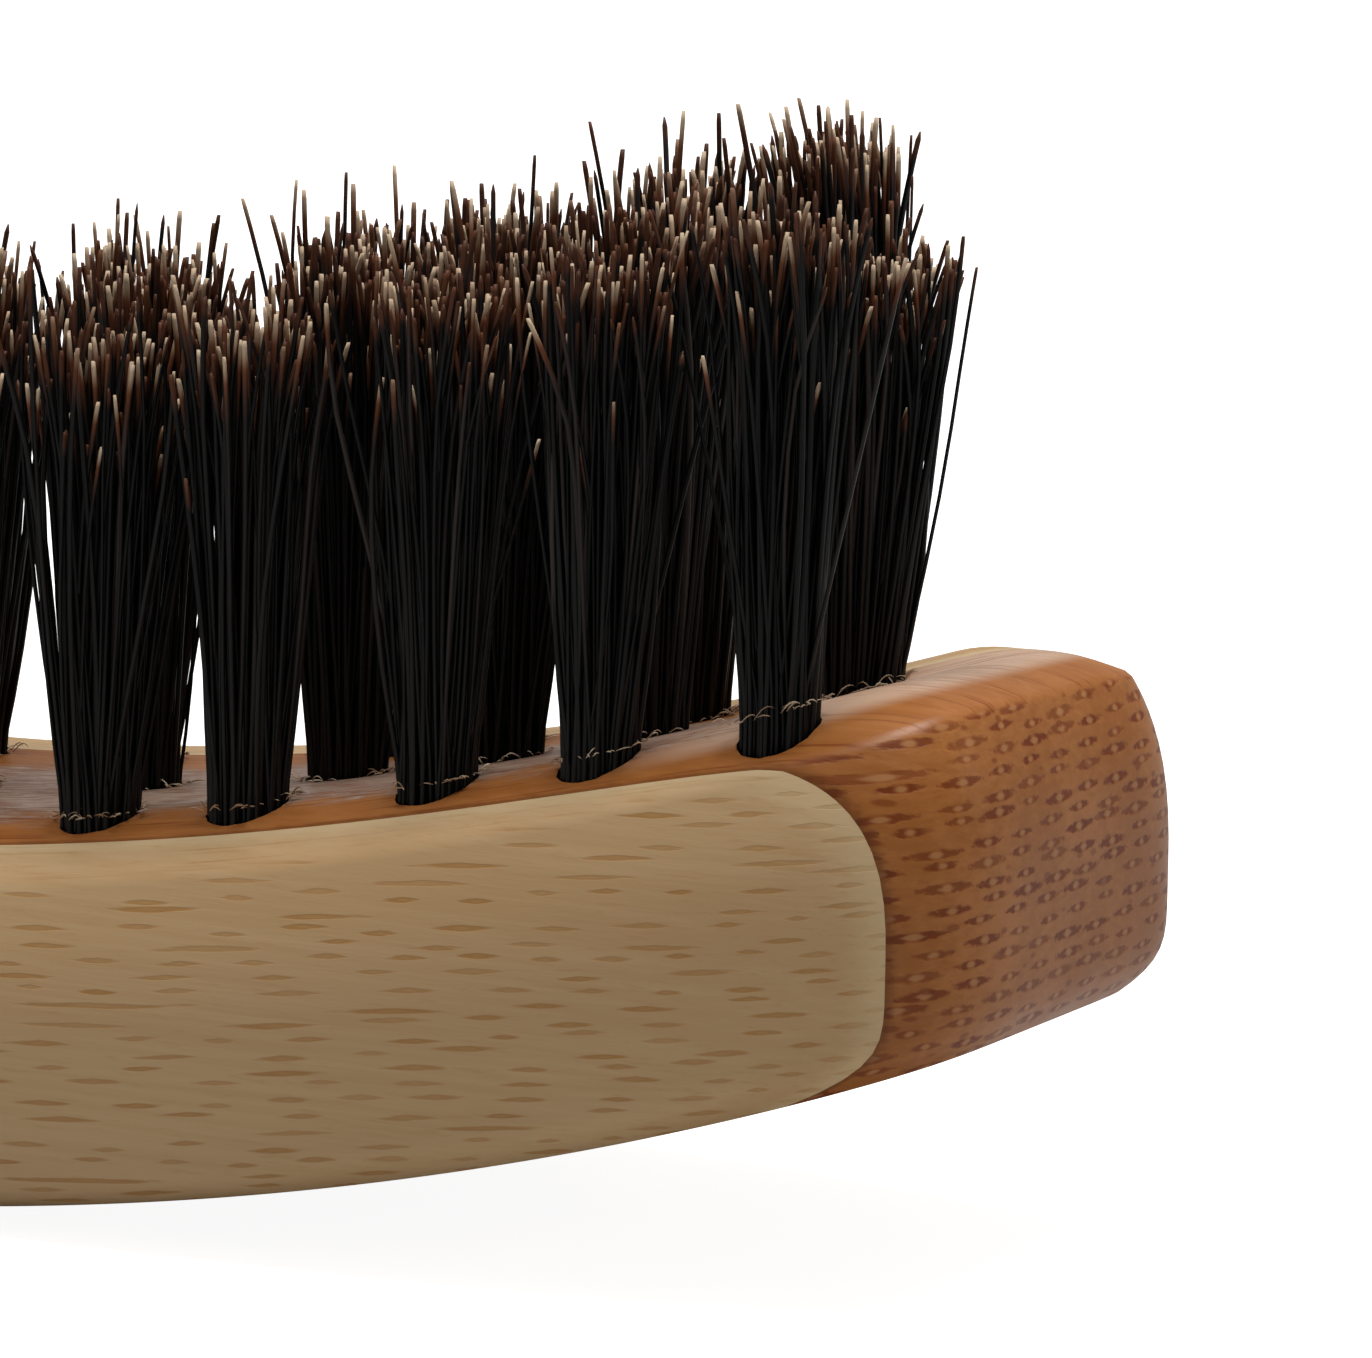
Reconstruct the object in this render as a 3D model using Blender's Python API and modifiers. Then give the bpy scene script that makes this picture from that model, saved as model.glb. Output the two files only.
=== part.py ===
"""Beard brush: a jaw-curved block laminated from bamboo, with three rows of boar-bristle tufts.

The block is three upright lamellas: a carbonised core that holds every tuft hole, and a pale
lamella glued along each of its long sides. Each tuft is a bundle of bristles folded over a
flat-wire staple and driven into a blind hole. Metres, +Z up. X runs along the block, Y across
it, and the origin is on the resting flat under the middle of the back.
"""

import math

import bmesh
import bpy

MM = 0.001

# Block, seen from above: |x / half length|^LENGTH_POWER + |y / half width|^WIDTH_POWER = 1.
BLOCK_LENGTH = 120.6 * MM
BLOCK_WIDTH = 32.2 * MM
LENGTH_POWER = 4.3
WIDTH_POWER = 6.0
OUTLINE_POINTS = 33
CORNER_WEIGHT = 9.0 * MM

# Block, seen from the side. The face is hollow and the back is crowned, each to its own radius.
BLOCK_THICKNESS = 15.0 * MM
FACE_RADIUS = 156.0 * MM
BACK_RADIUS = 167.0 * MM
RESTING_FLAT = 18.0 * MM

# The long edge of the face rolls down to a crease, and the side walls bulge a little.
FACE_ROLL_WIDTH = 5.9 * MM
FACE_ROLL_DROP = 2.1 * MM
WALL_INSET_FACE = 1.75 * MM
WALL_INSET_BACK = 1.6 * MM
WALL_WIDEST = 0.36
FACE_INSET_POWER = 2.5
BACK_INSET_POWER = 6.5
WALL_LEVELS = (0.0, 0.02, 0.06, 0.13, 0.22, 0.36, 0.52, 0.68, 0.82, 0.92, 1.0)
ROLL_LEVELS = (0.2, 0.45, 0.7, 1.0)

# The face falls a little towards the far side. Between its corners that side has no roll: the
# end walls' roll fades out before it, its wall is drawn in less, and its edge turns up outwards.
FACE_FALL = 0.05
FAR_ROLL_FADE = 8.0 * MM
CORNER_ROLL_START = 48.0 * MM
CORNER_ROLL_WIDTH = 9.0 * MM
FAR_INSET_SHARE = 0.35
FAR_LIP = 1.3 * MM
FAR_LIP_START = 9.0 * MM
FAR_LIP_WIDTH = 6.0 * MM
FACE_CUTS = (0.4, 0.8, 0.84, 0.88, 0.92, 0.96)

# Lamellas
PALE_THICKNESS = 3.9 * MM
CORE_THICKNESS = BLOCK_WIDTH - 2 * PALE_THICKNESS
JOINT_GAP = 0.3 * MM

# Tuft holes
HOLE_DIAMETER = 3.3 * MM
HOLE_DEPTH = 8.5 * MM
HOLE_SIDES = 14
HOLE_OVERRUN = 4.0 * MM
HOLE_TO_JOINT = 0.5 * MM
ROW_SPACING = CORE_THICKNESS / 2 - JOINT_GAP / 2 - HOLE_TO_JOINT - HOLE_DIAMETER / 2

# Rows of holes, from near to far: name, free length of the bristle, and how far each hole of one
# half lies from the middle, as a share of half the block's length. The other half is its mirror
# image, and a hole at 0 is its own. The holes are drilled by hand, so they aren't quite even.
ROWS = (
    ("near", 19.4 * MM, (0.070, 0.211, 0.352, 0.463, 0.604, 0.723, 0.854)),
    ("centre", 20.8 * MM, (0.050, 0.150, 0.295, 0.453, 0.570, 0.677, 0.836)),
    ("far", 22.3 * MM, (0.070, 0.205, 0.380, 0.484, 0.629, 0.757)),
)

# Bristle tufts
TUFT_CLEARANCE = 0.3 * MM
TUFT_TOP_GAP = 1.0 * MM
TUFT_SIDES = 12

# Flat-wire staples. Those of the centre row are modelled, one to each of its tufts.
STAPLED_ROW = "centre"
STAPLE_HEIGHT = 1.6 * MM
STAPLE_THICKNESS = 0.4 * MM
STAPLE_FLOOR_CLEARANCE = 1.5 * MM
STAPLE_SLOT_CLEARANCE = 0.3 * MM
STAPLE_END_CLEARANCE = 0.3 * MM

# Colour (linear RGB), roughness and metallic value of each material.
PALE_BAMBOO = ("pale_bamboo", (0.47, 0.31, 0.16), 0.45, 0.0)
CARBONISED_BAMBOO = ("carbonised_bamboo", (0.27, 0.12, 0.055), 0.45, 0.0)
BOAR_BRISTLE = ("boar_bristle", (0.012, 0.009, 0.008), 0.4, 0.0)
STAPLE_STEEL = ("staple_steel", (0.45, 0.44, 0.42), 0.35, 1.0)


def clear_scene():
    """Remove every object, so that the file holds only the brush."""
    for obj in list(bpy.data.objects):
        bpy.data.objects.remove(obj, do_unlink=True)


def new_collection(name):
    collection = bpy.data.collections.new(name)
    bpy.context.scene.collection.children.link(collection)
    return collection


def material(finish):
    """The Principled material of a finish, made once."""
    name, colour, roughness, metallic = finish
    made = bpy.data.materials.get(name)
    if made is None:
        made = bpy.data.materials.new(name)
        made.use_nodes = True
        made.diffuse_color = (*colour, 1.0)
        shader = made.node_tree.nodes["Principled BSDF"]
        shader.inputs["Base Color"].default_value = (*colour, 1.0)
        shader.inputs["Roughness"].default_value = roughness
        shader.inputs["Metallic"].default_value = metallic
    return made


def add_object(name, mesh, collection, location=(0.0, 0.0, 0.0), parent=None, finish=None):
    obj = bpy.data.objects.new(name, mesh)
    obj.location = location
    obj.parent = parent
    collection.objects.link(obj)
    if finish:
        obj.data.materials.clear()
        obj.data.materials.append(material(finish))
    return obj


def hide_as_cutter(obj):
    obj.hide_render = True
    obj.display_type = "WIRE"


def add_boolean(obj, cutter, operation):
    modifier = obj.modifiers.new(f"{operation.lower()}_{cutter.name}", "BOOLEAN")
    modifier.operation = operation
    modifier.solver = "EXACT"
    modifier.object = cutter


def smooth(share):
    """A soft step from 0 to 1 as share goes from 0 to 1."""
    share = min(1.0, max(0.0, share))
    return share * share * (3 - 2 * share)


def face_height(x, y):
    """Height of the hollow face above the resting flat."""
    near_edge = BLOCK_WIDTH / 2 - WALL_INSET_FACE - FACE_ROLL_WIDTH
    fall = FACE_FALL * max(0.0, y + near_edge)
    lip = FAR_LIP * (2 * x / BLOCK_LENGTH) ** 2 * smooth((y - FAR_LIP_START) / FAR_LIP_WIDTH)
    return BLOCK_THICKNESS + x * x / (2 * FACE_RADIUS) - fall + lip


def roll_drop(x, y):
    """How far the crease lies under the face."""
    corner = smooth((abs(x) - CORNER_ROLL_START) / CORNER_ROLL_WIDTH)
    return FACE_ROLL_DROP * (1 - smooth(y / FAR_ROLL_FADE) * (1 - corner))


def back_height(x):
    """Height of the crowned back, which is sanded flat under the middle."""
    return max(0.0, (x * x - (RESTING_FLAT / 2) ** 2) / (2 * BACK_RADIUS))


def half_outline():
    """Points of the near half of the plan outline, as shares of its half length and half width.

    They run from one tip to the other and crowd where the outline turns.
    """
    steps = 1600
    dense = []
    for step in range(steps + 1):
        angle = math.pi * step / steps
        along = math.copysign(abs(math.cos(angle)) ** (2 / LENGTH_POWER), -math.cos(angle))
        across = -(math.sin(angle) ** (2 / WIDTH_POWER)) if 0 < step < steps else 0.0
        dense.append((along, across))
    measure = [0.0]
    heading = None
    for (x0, y0), (x1, y1) in zip(dense, dense[1:]):
        dx = (x1 - x0) * BLOCK_LENGTH / 2
        dy = (y1 - y0) * BLOCK_WIDTH / 2
        turned = math.atan2(dy, dx)
        bend = 0.0 if heading is None else abs(turned - heading)
        heading = turned
        measure.append(measure[-1] + math.hypot(dx, dy) + CORNER_WEIGHT * bend)
    points = []
    index = 0
    for count in range(OUTLINE_POINTS):
        wanted = measure[-1] * count / (OUTLINE_POINTS - 1)
        while index < steps and measure[index] < wanted:
            index += 1
        points.append(dense[index])
    middle = OUTLINE_POINTS // 2
    for count in range(middle):
        along, across = points[count]
        points[-1 - count] = (-along, across)
    points[middle] = (0.0, -1.0)
    return points


def add_ring(mesh, half, inset, far_inset, height_at):
    """One level of the block: the plan outline drawn in, at the height given for each place.

    The far side is drawn in by far_inset, and the near side and the ends by inset.
    """
    half_length = BLOCK_LENGTH / 2 - inset
    near_width = BLOCK_WIDTH / 2 - inset
    far_width = BLOCK_WIDTH / 2 - far_inset
    near = [(along * half_length, across * near_width) for along, across in half]
    far = [(along * half_length, -across * far_width) for along, across in reversed(half[1:-1])]
    return [mesh.verts.new((x, y, height_at(x, y))) for x, y in near + far]


def bridge(mesh, lower, upper):
    count = len(lower)
    for index in range(count):
        after = (index + 1) % count
        mesh.faces.new((lower[index], lower[after], upper[after], upper[index]))


def cross_column(mesh, ring, index, cuts, height_at):
    """The points of a closed level from its near side to its far side, at one place along it."""
    near, far = ring[index], ring[-index]
    column = [near]
    for cut in cuts:
        x, y = near.co.x, near.co.y + cut * (far.co.y - near.co.y)
        column.append(mesh.verts.new((x, y, height_at(x, y))))
    return column + [far]


def close_across(mesh, ring, upward, cuts=(), height_at=None):
    """Close a level with strips from its near side to its far side, so each follows the curve."""
    last = OUTLINE_POINTS - 1
    columns = [cross_column(mesh, ring, index, cuts, height_at) for index in range(1, last)]
    rows = len(cuts) + 1
    columns = [[ring[0]] * (rows + 1)] + columns + [[ring[last]] * (rows + 1)]
    for before, after in zip(columns, columns[1:]):
        for row in range(rows):
            corners = [before[row], after[row], after[row + 1], before[row + 1]]
            corners = list(dict.fromkeys(corners))
            mesh.faces.new(corners if upward else corners[::-1])


def wall_inset(level):
    if level > WALL_WIDEST:
        share = (level - WALL_WIDEST) / (1 - WALL_WIDEST)
        return WALL_INSET_FACE * share**FACE_INSET_POWER
    return WALL_INSET_BACK * (1 - level / WALL_WIDEST) ** BACK_INSET_POWER


def block_mesh():
    """The whole block before it is divided into lamellas, as rings from the back up to the face."""
    mesh = bmesh.new()
    half = half_outline()
    rings = []
    for level in WALL_LEVELS:

        def height_at(x, y, level=level):
            crease = face_height(x, y) - roll_drop(x, y)
            return back_height(x) + level * (crease - back_height(x))

        inset = wall_inset(level)
        far_inset = inset * FAR_INSET_SHARE if level > WALL_WIDEST else inset
        rings.append(add_ring(mesh, half, inset, far_inset, height_at))
    for level in ROLL_LEVELS:

        def height_at(x, y, level=level):
            return face_height(x, y) - roll_drop(x, y) * (1 - level) ** 2

        inset = WALL_INSET_FACE + level * FACE_ROLL_WIDTH
        rings.append(add_ring(mesh, half, inset, inset * FAR_INSET_SHARE, height_at))
    for lower, upper in zip(rings, rings[1:]):
        bridge(mesh, lower, upper)
    close_across(mesh, rings[0], upward=False)
    close_across(mesh, rings[-1], True, FACE_CUTS, face_height)
    data = bpy.data.meshes.new("block")
    mesh.to_mesh(data)
    mesh.free()
    return data


def box_mesh(name, low, high):
    mesh = bmesh.new()
    bmesh.ops.create_cube(mesh, size=1.0)
    for vertex in mesh.verts:
        for axis in range(3):
            middle = (low[axis] + high[axis]) / 2
            vertex.co[axis] = middle + vertex.co[axis] * (high[axis] - low[axis])
    data = bpy.data.meshes.new(name)
    mesh.to_mesh(data)
    mesh.free()
    return data


def hole_positions(shares):
    """The x of every hole of a row, in order along the block."""
    half = [share * BLOCK_LENGTH / 2 for share in shares]
    return [-x for x in reversed(half) if x > 0] + half


def tuft_places():
    """(row name, hole number from 1, x, y) of each tuft hole."""
    for row, (name, _, shares) in enumerate(ROWS):
        y = (row - (len(ROWS) - 1) / 2) * ROW_SPACING
        for hole, x in enumerate(hole_positions(shares)):
            yield name, hole + 1, x, y


def tuft_top_diameter():
    """Width of a tuft at its tips: it stays clear of the tufts beside it."""
    nearest = ROW_SPACING
    for _, _, shares in ROWS:
        row = hole_positions(shares)
        nearest = min([nearest] + [after - x for x, after in zip(row, row[1:])])
    return nearest - TUFT_TOP_GAP


def hole_cutters_mesh():
    """An upright drill for each tuft hole, with its tip HOLE_DEPTH under the face."""
    mesh = bmesh.new()
    height = HOLE_DEPTH + HOLE_OVERRUN
    for _, _, x, y in tuft_places():
        drill = bmesh.ops.create_cone(
            mesh,
            cap_ends=True,
            segments=HOLE_SIDES,
            radius1=HOLE_DIAMETER / 2,
            radius2=HOLE_DIAMETER / 2,
            depth=height,
        )
        middle = face_height(x, y) - HOLE_DEPTH + height / 2
        bmesh.ops.translate(mesh, verts=drill["verts"], vec=(x, y, middle))
    data = bpy.data.meshes.new("hole_cutters")
    mesh.to_mesh(data)
    mesh.free()
    return data


def tuft_profile(length):
    """(radius, height) of a tuft from its tips down to its fold, with height 0 at the face."""
    in_hole = HOLE_DIAMETER / 2 - TUFT_CLEARANCE
    rim_rise = HOLE_DIAMETER / 2 * BLOCK_LENGTH / 2 / FACE_RADIUS + FAR_LIP / 2 + TUFT_CLEARANCE
    top = tuft_top_diameter() / 2
    return [
        (0.0, length),
        (top * 0.8, length * 0.985),
        (top, length * 0.88),
        (top * 0.78, length * 0.5),
        (in_hole, rim_rise),
        (in_hole, TUFT_CLEARANCE - HOLE_DEPTH),
        (0.0, TUFT_CLEARANCE - HOLE_DEPTH),
    ]


def tuft_mesh(name, length):
    """A tuft as a turned solid, from its profile and a Screw modifier."""
    profile = bpy.data.meshes.new(f"{name}_profile")
    points = [(radius, 0.0, height) for radius, height in tuft_profile(length)]
    profile.from_pydata(points, [(i, i + 1) for i in range(len(points) - 1)], [])
    turned = bpy.data.objects.new(f"{name}_turned", profile)
    bpy.context.scene.collection.objects.link(turned)
    screw = turned.modifiers.new("turn", "SCREW")
    screw.steps = screw.render_steps = TUFT_SIDES
    screw.use_merge_vertices = True
    screw.merge_threshold = 0.00001
    graph = bpy.context.evaluated_depsgraph_get()
    data = bpy.data.meshes.new_from_object(turned.evaluated_get(graph))
    data.name = name
    bpy.data.objects.remove(turned, do_unlink=True)
    data.shade_smooth()
    data.set_sharp_from_angle(angle=math.radians(50))
    return data


def staple_box(extra):
    """(low, high) corners of a staple about its tuft, grown by extra for the slot around it."""
    floor = STAPLE_FLOOR_CLEARANCE - HOLE_DEPTH
    reach = HOLE_DIAMETER / 2 - STAPLE_END_CLEARANCE
    low = (-STAPLE_THICKNESS / 2 - extra, -reach - 2 * extra, floor - extra)
    high = (STAPLE_THICKNESS / 2 + extra, reach + 2 * extra, floor + STAPLE_HEIGHT + extra)
    return low, high


def build_block(brush, cutters, root):
    """The three lamellas, each a slice of the same block, and the tuft holes in the core."""
    side = CORE_THICKNESS / 2
    beyond = BLOCK_WIDTH
    spans = {
        "near_lamella": (-beyond, -side - JOINT_GAP / 2, PALE_BAMBOO),
        "core_lamella": (-side + JOINT_GAP / 2, side - JOINT_GAP / 2, CARBONISED_BAMBOO),
        "far_lamella": (side + JOINT_GAP / 2, beyond, PALE_BAMBOO),
    }
    for name, (low, high, finish) in spans.items():
        lamella = add_object(name, block_mesh(), brush, parent=root, finish=finish)
        corner = (-BLOCK_LENGTH, low, -BLOCK_THICKNESS)
        opposite = (BLOCK_LENGTH, high, 4 * BLOCK_THICKNESS)
        slab = add_object(f"{name}_slab", box_mesh(f"{name}_slab", corner, opposite), cutters)
        hide_as_cutter(slab)
        add_boolean(lamella, slab, "INTERSECT")
        if name == "core_lamella":
            drills = add_object("tuft_hole_drills", hole_cutters_mesh(), cutters)
            hide_as_cutter(drills)
            add_boolean(lamella, drills, "DIFFERENCE")


def build_tufts(brush, cutters, root):
    """A tuft in each hole, and the staple that each tuft of the stapled row is folded over."""
    meshes = {row: tuft_mesh(f"{row}_tuft", length) for row, length, _ in ROWS}
    staple = box_mesh("staple", *staple_box(0.0))
    slot = box_mesh("staple_slot", *staple_box(STAPLE_SLOT_CLEARANCE))
    for row, hole, x, y in tuft_places():
        place = (x, y, face_height(x, y))
        name = f"tuft_{row}_{hole:02d}"
        tuft = add_object(name, meshes[row], brush, place, root, BOAR_BRISTLE)
        if row == STAPLED_ROW:
            cutter = add_object(f"staple_slot_{hole:02d}", slot, cutters, place, root)
            hide_as_cutter(cutter)
            add_boolean(tuft, cutter, "DIFFERENCE")
            add_object(f"staple_{hole:02d}", staple, brush, place, root, STAPLE_STEEL)


def main():
    clear_scene()
    brush = new_collection("beard_brush")
    cutters = new_collection("cutters")
    root = bpy.data.objects.new("brush_origin", None)
    brush.objects.link(root)
    build_block(brush, cutters, root)
    build_tufts(brush, cutters, root)


main()
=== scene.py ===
"""Beard brush: the looks of a jaw-curved bamboo block with three rows of boar-bristle tufts.

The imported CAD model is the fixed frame. The block's three lamellas are rebuilt as finer forms of
the same shape, and every tuft becomes a bundle of separate tapered bristles in its own hole.
"""

import logging
import math
import random
from collections.abc import Callable
from dataclasses import dataclass, field
from enum import Enum

import bmesh
import bpy
from mathutils import Matrix, Vector


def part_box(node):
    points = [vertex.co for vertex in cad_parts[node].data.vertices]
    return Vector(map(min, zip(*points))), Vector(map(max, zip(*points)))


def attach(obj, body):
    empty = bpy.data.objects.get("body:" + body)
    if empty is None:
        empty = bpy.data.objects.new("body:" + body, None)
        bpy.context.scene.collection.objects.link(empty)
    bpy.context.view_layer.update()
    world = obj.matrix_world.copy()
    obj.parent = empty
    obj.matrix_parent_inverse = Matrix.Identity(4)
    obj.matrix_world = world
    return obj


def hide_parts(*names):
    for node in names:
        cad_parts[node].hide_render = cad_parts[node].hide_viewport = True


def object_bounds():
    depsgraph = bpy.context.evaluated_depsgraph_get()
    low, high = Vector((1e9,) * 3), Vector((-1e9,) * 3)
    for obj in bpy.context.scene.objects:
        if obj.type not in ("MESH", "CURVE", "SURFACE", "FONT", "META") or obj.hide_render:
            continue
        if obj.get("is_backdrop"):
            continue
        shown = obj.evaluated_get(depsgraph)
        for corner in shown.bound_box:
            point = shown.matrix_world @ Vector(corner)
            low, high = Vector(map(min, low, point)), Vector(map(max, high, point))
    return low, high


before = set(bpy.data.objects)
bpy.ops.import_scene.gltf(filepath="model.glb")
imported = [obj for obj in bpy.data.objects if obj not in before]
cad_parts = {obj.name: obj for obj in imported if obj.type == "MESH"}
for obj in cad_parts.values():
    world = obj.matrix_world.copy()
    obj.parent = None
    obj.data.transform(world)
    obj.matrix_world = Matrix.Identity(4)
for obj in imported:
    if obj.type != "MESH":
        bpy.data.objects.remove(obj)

LOG = logging.getLogger("beard_brush")
MM = 0.001
BODY = "root"
SEED = 4107

# The side view of the block, which both its form and the wear on its face follow.
BLOCK_THICKNESS = 15.0 * MM
FACE_RADIUS = 156.0 * MM
FACE_FALL = 0.05
FACE_FLAT_FROM = -8.45 * MM

Point = tuple[float, float, float]
Span = tuple[float, float]
HeightAt = Callable[[float, float], float]
Value = bpy.types.NodeSocket | bpy.types.Node | float | str | Point


class Row(Enum):
    """The three rows of tufts, by where they stand across the block."""

    NEAR = "near"
    CENTRE = "centre"
    FAR = "far"


class Side(Enum):
    """Which slice of the block a lamella is cut from."""

    NEAR = -1
    CORE = 0
    FAR = 1


# ---------------------------------------------------------------------------------------------
# Colours and shader nodes
# ---------------------------------------------------------------------------------------------


def linear(code: str) -> tuple[float, float, float, float]:
    """Turn an sRGB colour into the linear one that shaders use.

    Args:
        code: the colour as six hex digits after a #.

    Returns:
        Linear red, green, blue, and an alpha of one.
    """
    parts = [int(code[i : i + 2], 16) / 255 for i in (1, 3, 5)]
    made = [c / 12.92 if c <= 0.04045 else ((c + 0.055) / 1.055) ** 2.4 for c in parts]
    return (made[0], made[1], made[2], 1.0)


class Do(Enum):
    """The shader nodes in use here, each with its settings and the values it always has."""

    PLACE = ("ShaderNodeTexCoord", {}, {})
    SURFACE = ("ShaderNodeNewGeometry", {}, {})
    RAY = ("ShaderNodeLightPath", {}, {})
    ALONG = ("ShaderNodeAttribute", {"attribute_name": "along"}, {})
    LOT = ("ShaderNodeAttribute", {"attribute_name": "lot"}, {})
    SCALE = ("ShaderNodeVectorMath", {"operation": "SCALE"}, {})
    STRETCH = ("ShaderNodeMapping", {}, {})
    SPLIT = ("ShaderNodeSeparateXYZ", {}, {})
    JOIN = ("ShaderNodeCombineXYZ", {}, {})
    SPLIT_COLOUR = ("ShaderNodeSeparateColor", {}, {})
    NOISE = ("ShaderNodeTexNoise", {}, {})
    LINE_NOISE = ("ShaderNodeTexNoise", {"noise_dimensions": "1D"}, {})
    FLAT_NOISE = ("ShaderNodeTexNoise", {"noise_dimensions": "2D"}, {})
    LINE_CHANCE = ("ShaderNodeTexWhiteNoise", {"noise_dimensions": "1D"}, {})
    FLAT_CHANCE = ("ShaderNodeTexWhiteNoise", {"noise_dimensions": "2D"}, {})
    DOTS = ("ShaderNodeTexVoronoi", {}, {})
    BUMP = ("ShaderNodeBump", {}, {})
    ADD = ("ShaderNodeMath", {"operation": "ADD"}, {})
    LESS = ("ShaderNodeMath", {"operation": "SUBTRACT"}, {})
    TIMES = ("ShaderNodeMath", {"operation": "MULTIPLY"}, {})
    OVER = ("ShaderNodeMath", {"operation": "DIVIDE"}, {})
    OVER_HELD = ("ShaderNodeMath", {"operation": "DIVIDE", "use_clamp": True}, {})
    MOST = ("ShaderNodeMath", {"operation": "MAXIMUM"}, {})
    UNSIGNED = ("ShaderNodeMath", {"operation": "ABSOLUTE"}, {})
    FLOOR = ("ShaderNodeMath", {"operation": "FLOOR"}, {})
    FRACTION = ("ShaderNodeMath", {"operation": "FRACT"}, {})
    RISE = ("ShaderNodeMapRange", {"interpolation_type": "SMOOTHSTEP"}, {"to_min": 0.0, "to_max": 1.0})
    FALL = ("ShaderNodeMapRange", {"interpolation_type": "SMOOTHSTEP"}, {"to_min": 1.0, "to_max": 0.0})
    BLEND = ("ShaderNodeMix", {"data_type": "FLOAT"}, {})
    MIX = ("ShaderNodeMix", {"data_type": "RGBA"}, {})


@dataclass
class Shader:
    """The node tree of one material, with its Principled shader."""

    name: str
    material: bpy.types.Material = field(init=False)

    def __post_init__(self) -> None:
        """Make the material, empty but for its Principled shader."""
        self.material = bpy.data.materials.new(self.name)
        self.material.use_nodes = True

    @property
    def principled(self) -> bpy.types.Node:
        """The shader that every material here ends in."""
        return self.material.node_tree.nodes["Principled BSDF"]

    def node(self, kind: Do, *inputs: Value, **named: Value) -> bpy.types.Node:
        """Add a node with its settings and links.

        Args:
            kind: which node.
            inputs: what goes into its inputs in order, of those that its settings leave in use.
            named: what goes into its other inputs, by the input's name in lower case with _ for
                a space.

        Returns:
            The node.
        """
        type_name, settings, always = kind.value
        made = self.material.node_tree.nodes.new(type_name)
        for key, value in settings.items():
            setattr(made, key, value)
        for socket, value in zip([i for i in made.inputs if i.enabled], inputs):
            self.plug(socket, value)
        self.feed(made, **always, **named)
        return made

    def feed(self, node: bpy.types.Node, **named: Value) -> None:
        """Set or link inputs of a node by name."""
        for key, value in named.items():
            self.plug(next(i for i in node.inputs if i.name.lower().replace(" ", "_") == key), value)

    def plug(self, socket: bpy.types.NodeSocket, value: Value) -> None:
        """Set or link one input.

        Args:
            socket: the input.
            value: an output to link, a node whose first output to link, a number, a vector, or a
                colour as hex digits.
        """
        if isinstance(value, bpy.types.Node):
            value = next(o for o in value.outputs if o.enabled)
        if isinstance(value, bpy.types.NodeSocket):
            self.material.node_tree.links.new(value, socket)
        else:
            socket.default_value = linear(value) if isinstance(value, str) else value


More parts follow.
